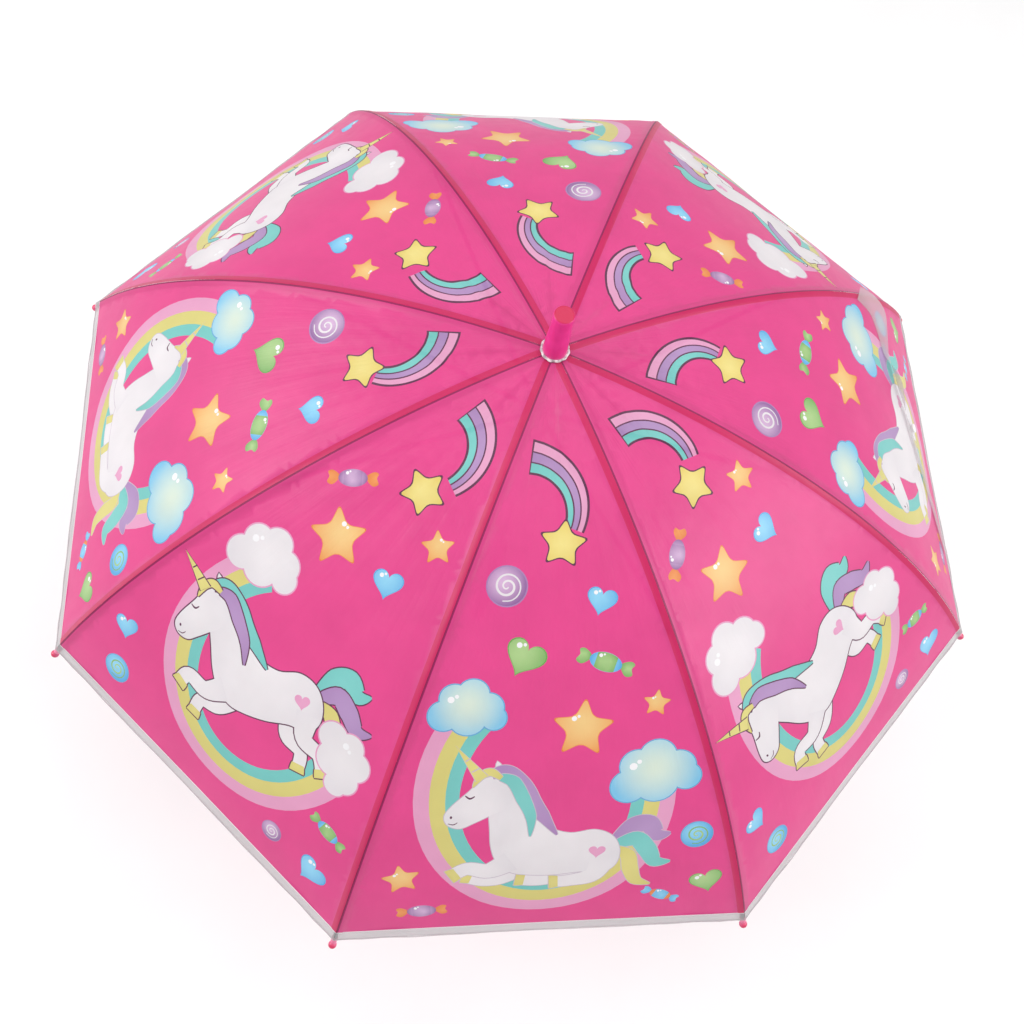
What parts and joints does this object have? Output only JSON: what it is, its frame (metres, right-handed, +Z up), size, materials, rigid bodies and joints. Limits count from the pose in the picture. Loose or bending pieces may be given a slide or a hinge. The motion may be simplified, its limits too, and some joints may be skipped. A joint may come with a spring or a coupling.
{
  "type": "children's umbrella",
  "caption": "Open child's stick umbrella: ribbed dome canopy of printed pink film on a folding frame, with a crook handle and a ferrule.",
  "frame": {"origin": "on the shaft's axis, level with the lowest point of the crook handle", "axes": "+Z up along the shaft to the ferrule, +X along rib 1; the crook opens towards -Y"},
  "size_m": [0.8426, 0.8426, 0.66],
  "materials": {
    "canopy_film": "printed translucent pink POE film, soft gloss",
    "clear_film": "unprinted frosted film",
    "rib_steel": "dark coated steel",
    "bright_steel": "bright plated steel",
    "pink_plastic": "hot pink moulded plastic",
    "tip_plastic": "crimson pink moulded plastic",
    "white_plastic": "white moulded plastic"
  },
  "bodies": {
    "shaft": {"shaft_tube": "bright_steel", "ferrule": "pink_plastic", "ferrule_pin": "bright_steel", "top_washer": "white_plastic", "crown": "white_plastic", "crown_wire": "bright_steel", "handle": "pink_plastic", "handle_collar": "white_plastic", "handle_pin": "bright_steel", "runner_stop_pin": "bright_steel"},
    "rib_1": {"rib_1": "rib_steel", "rib_tip_1": "tip_plastic", "canopy_panel_1": "canopy_film", "closure_strap": "clear_film", "strap_snap": "white_plastic"},
    "stretcher_1": {"stretcher_1": "rib_steel", "joint_rivet_1": "bright_steel"},
    "rib_2": {"rib_2": "rib_steel", "rib_tip_2": "tip_plastic", "canopy_panel_2": "canopy_film"},
    "stretcher_2": {"stretcher_2": "rib_steel", "joint_rivet_2": "bright_steel"},
    "rib_3": {"rib_3": "rib_steel", "rib_tip_3": "tip_plastic", "canopy_panel_3": "canopy_film"},
    "stretcher_3": {"stretcher_3": "rib_steel", "joint_rivet_3": "bright_steel"},
    "rib_4": {"rib_4": "rib_steel", "rib_tip_4": "tip_plastic", "canopy_panel_4": "canopy_film"},
    "stretcher_4": {"stretcher_4": "rib_steel", "joint_rivet_4": "bright_steel"},
    "rib_5": {"rib_5": "rib_steel", "rib_tip_5": "tip_plastic", "canopy_panel_5": "canopy_film"},
    "stretcher_5": {"stretcher_5": "rib_steel", "joint_rivet_5": "bright_steel"},
    "rib_6": {"rib_6": "rib_steel", "rib_tip_6": "tip_plastic", "canopy_panel_6": "canopy_film"},
    "stretcher_6": {"stretcher_6": "rib_steel", "joint_rivet_6": "bright_steel"},
    "rib_7": {"rib_7": "rib_steel", "rib_tip_7": "tip_plastic", "canopy_panel_7": "canopy_film"},
    "stretcher_7": {"stretcher_7": "rib_steel", "joint_rivet_7": "bright_steel"},
    "rib_8": {"rib_8": "rib_steel", "rib_tip_8": "tip_plastic", "canopy_panel_8": "canopy_film"},
    "stretcher_8": {"stretcher_8": "rib_steel", "joint_rivet_8": "bright_steel"},
    "runner": {"runner": "white_plastic", "thumb_ring": "pink_plastic", "runner_wire": "bright_steel"},
    "top_catch": {"top_catch": "bright_steel"},
    "bottom_catch": {"bottom_catch": "bright_steel"}
  },
  "joints": [
    {"name": "canopy_fold", "type": "hinge", "parent": "shaft", "child": "rib_1", "pos_m": [0.0095, 0, 0.606], "axis": [0, 1, 0], "range_deg": [0, 57], "deforming": ["canopy_panel_1", "closure_strap", "strap_snap"]},
    {"name": "rib_2_fold", "type": "hinge", "parent": "shaft", "child": "rib_2", "pos_m": [0.00672, 0.00672, 0.606], "axis": [-0.7071, 0.7071, 0], "range_deg": [0, 57], "deforming": ["canopy_panel_2"]},
    {"name": "rib_3_fold", "type": "hinge", "parent": "shaft", "child": "rib_3", "pos_m": [0, 0.0095, 0.606], "axis": [-1, 0, 0], "range_deg": [0, 57], "deforming": ["canopy_panel_3"]},
    {"name": "rib_4_fold", "type": "hinge", "parent": "shaft", "child": "rib_4", "pos_m": [-0.00672, 0.00672, 0.606], "axis": [-0.7071, -0.7071, 0], "range_deg": [0, 57], "deforming": ["canopy_panel_4"]},
    {"name": "rib_5_fold", "type": "hinge", "parent": "shaft", "child": "rib_5", "pos_m": [-0.0095, 0, 0.606], "axis": [0, -1, 0], "range_deg": [0, 57], "deforming": ["canopy_panel_5"]},
    {"name": "rib_6_fold", "type": "hinge", "parent": "shaft", "child": "rib_6", "pos_m": [-0.00672, -0.00672, 0.606], "axis": [0.7071, -0.7071, 0], "range_deg": [0, 57], "deforming": ["canopy_panel_6"]},
    {"name": "rib_7_fold", "type": "hinge", "parent": "shaft", "child": "rib_7", "pos_m": [0, -0.0095, 0.606], "axis": [1, 0, 0], "range_deg": [0, 57], "deforming": ["canopy_panel_7"]},
    {"name": "rib_8_fold", "type": "hinge", "parent": "shaft", "child": "rib_8", "pos_m": [0.00672, -0.00672, 0.606], "axis": [0.7071, 0.7071, 0], "range_deg": [0, 57], "deforming": ["canopy_panel_8"]},
    {"name": "stretcher_1_swing", "type": "hinge", "parent": "rib_1", "child": "stretcher_1", "pos_m": [0.20151, 0, 0.56181], "axis": [0, 1, 0], "range_deg": [-114, 0]},
    {"name": "stretcher_2_swing", "type": "hinge", "parent": "rib_2", "child": "stretcher_2", "pos_m": [0.14249, 0.14249, 0.56181], "axis": [-0.7071, 0.7071, 0], "range_deg": [-114, 0]},
    {"name": "stretcher_3_swing", "type": "hinge", "parent": "rib_3", "child": "stretcher_3", "pos_m": [0, 0.20151, 0.56181], "axis": [-1, 0, 0], "range_deg": [-114, 0]},
    {"name": "stretcher_4_swing", "type": "hinge", "parent": "rib_4", "child": "stretcher_4", "pos_m": [-0.14249, 0.14249, 0.56181], "axis": [-0.7071, -0.7071, 0], "range_deg": [-114, 0]},
    {"name": "stretcher_5_swing", "type": "hinge", "parent": "rib_5", "child": "stretcher_5", "pos_m": [-0.20151, 0, 0.56181], "axis": [0, -1, 0], "range_deg": [-114, 0]},
    {"name": "stretcher_6_swing", "type": "hinge", "parent": "rib_6", "child": "stretcher_6", "pos_m": [-0.14249, -0.14249, 0.56181], "axis": [0.7071, -0.7071, 0], "range_deg": [-114, 0]},
    {"name": "stretcher_7_swing", "type": "hinge", "parent": "rib_7", "child": "stretcher_7", "pos_m": [0, -0.20151, 0.56181], "axis": [1, 0, 0], "range_deg": [-114, 0]},
    {"name": "stretcher_8_swing", "type": "hinge", "parent": "rib_8", "child": "stretcher_8", "pos_m": [0.14249, -0.14249, 0.56181], "axis": [0.7071, 0.7071, 0], "range_deg": [-114, 0]},
    {"name": "runner_level", "type": "hinge", "parent": "stretcher_1", "child": "runner", "pos_m": [0.0095, 0, 0.51763], "axis": [0, 1, 0], "range_deg": [0, 57]},
    {"name": "top_catch_press", "type": "slide", "parent": "shaft", "child": "top_catch", "axis": [-0.9239, -0.3827, 0], "range_m": [0, 0.0018], "stiffness_N_per_m": 400, "springref_m": -0.001},
    {"name": "bottom_catch_press", "type": "slide", "parent": "shaft", "child": "bottom_catch", "axis": [-0.9239, -0.3827, 0], "range_m": [0, 0.0018], "stiffness_N_per_m": 400, "springref_m": -0.001}
  ],
  "couplings": [
    {"joint": "rib_2_fold", "follows": "canopy_fold", "ratio": 1},
    {"joint": "rib_3_fold", "follows": "canopy_fold", "ratio": 1},
    {"joint": "rib_4_fold", "follows": "canopy_fold", "ratio": 1},
    {"joint": "rib_5_fold", "follows": "canopy_fold", "ratio": 1},
    {"joint": "rib_6_fold", "follows": "canopy_fold", "ratio": 1},
    {"joint": "rib_7_fold", "follows": "canopy_fold", "ratio": 1},
    {"joint": "rib_8_fold", "follows": "canopy_fold", "ratio": 1},
    {"joint": "stretcher_1_swing", "follows": "canopy_fold", "ratio": -2},
    {"joint": "stretcher_2_swing", "follows": "canopy_fold", "ratio": -2},
    {"joint": "stretcher_3_swing", "follows": "canopy_fold", "ratio": -2},
    {"joint": "stretcher_4_swing", "follows": "canopy_fold", "ratio": -2},
    {"joint": "stretcher_5_swing", "follows": "canopy_fold", "ratio": -2},
    {"joint": "stretcher_6_swing", "follows": "canopy_fold", "ratio": -2},
    {"joint": "stretcher_7_swing", "follows": "canopy_fold", "ratio": -2},
    {"joint": "stretcher_8_swing", "follows": "canopy_fold", "ratio": -2},
    {"joint": "runner_level", "follows": "canopy_fold", "ratio": 1}
  ]
}
